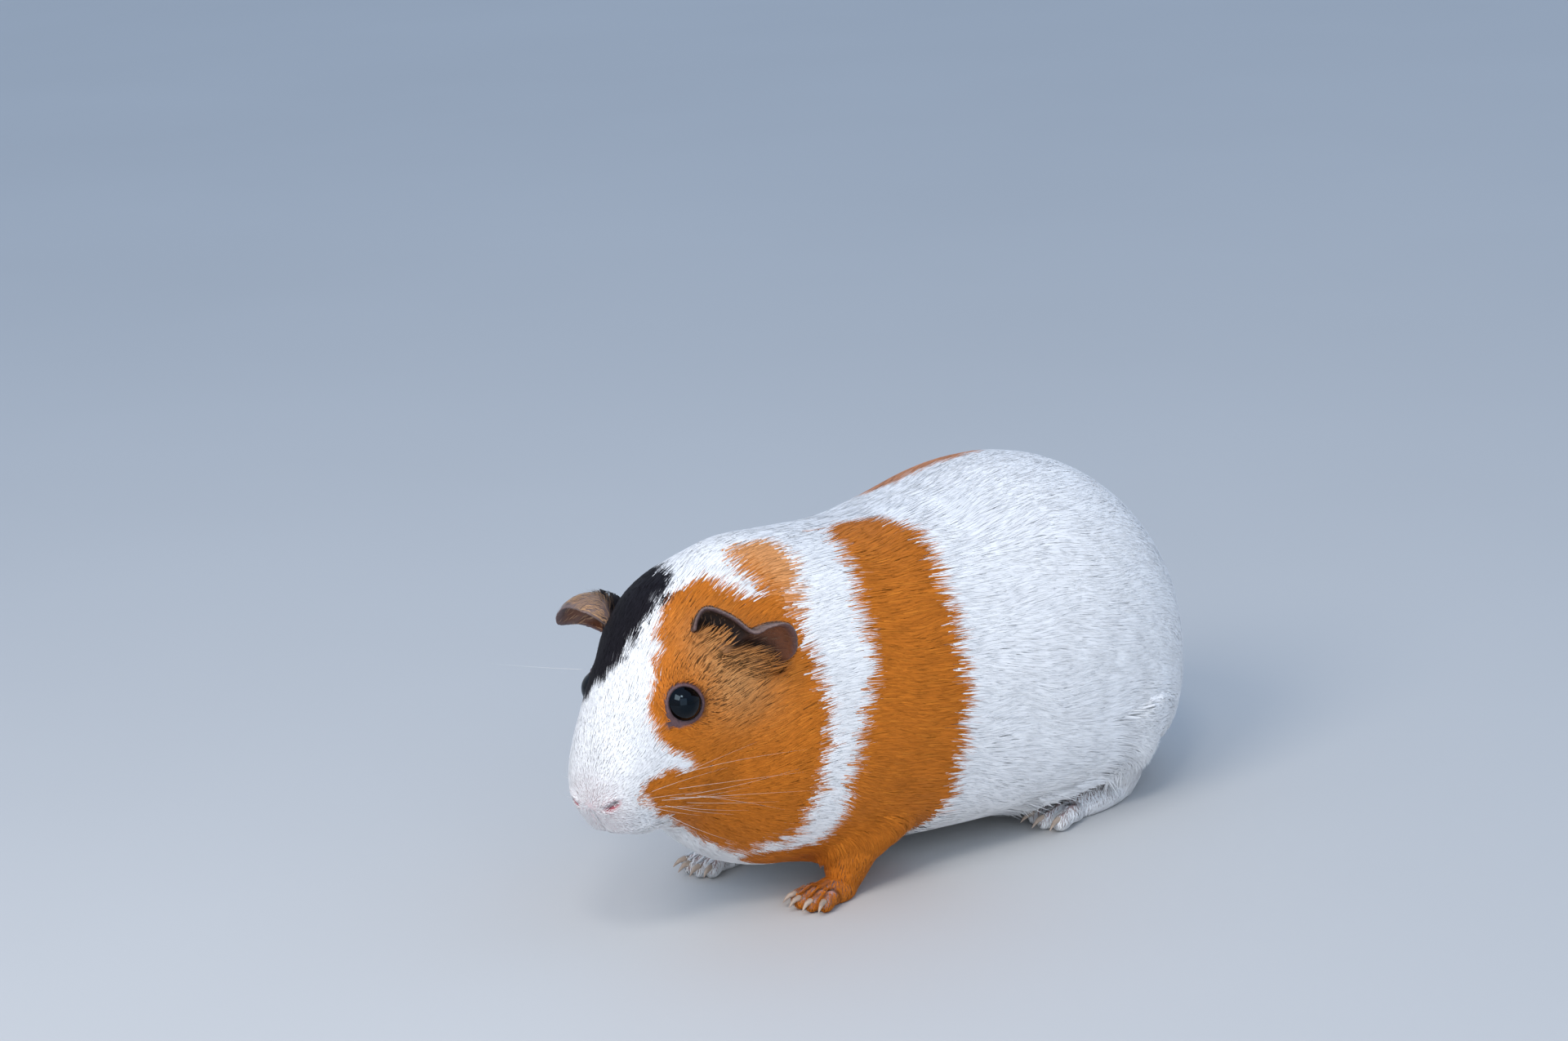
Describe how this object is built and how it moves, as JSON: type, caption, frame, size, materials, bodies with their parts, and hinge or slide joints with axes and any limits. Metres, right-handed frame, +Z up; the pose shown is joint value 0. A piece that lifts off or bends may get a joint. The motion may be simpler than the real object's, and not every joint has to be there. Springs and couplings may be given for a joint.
{
  "type": "guinea pig",
  "caption": "Still life-size guinea pig standing with its head lowered, with short smooth fur in white, orange and black patches.",
  "frame": {"origin": "centre of the whole model's box, on the floor plane that the soles rest on", "axes": "+Z up, +Y towards the rump, so the animal faces -Y, and +X towards its left side"},
  "size_m": [0.0942, 0.2072, 0.0966],
  "materials": {
    "coat_white": "short smooth fur, white",
    "coat_orange": "short smooth fur, orange",
    "ear_skin": "thin bare skin, matte",
    "paw_skin": "soft skin under short fur, matte",
    "claw": "horn, satin",
    "eye": "wet and glossy"
  },
  "bodies": {
    "root": {"head": "coat_orange", "neck": "coat_white", "trunk": "coat_white", "foreleg_left": "coat_orange", "foreleg_right": "coat_white", "hindleg_left": "coat_white", "hindleg_right": "coat_white", "forefoot_left": "paw_skin", "forefoot_right": "paw_skin", "hindfoot_left": "paw_skin", "hindfoot_right": "paw_skin", "ear_left": "ear_skin", "ear_right": "ear_skin", "eye_left": "eye", "eye_right": "eye"}
  },
  "joints": []
}
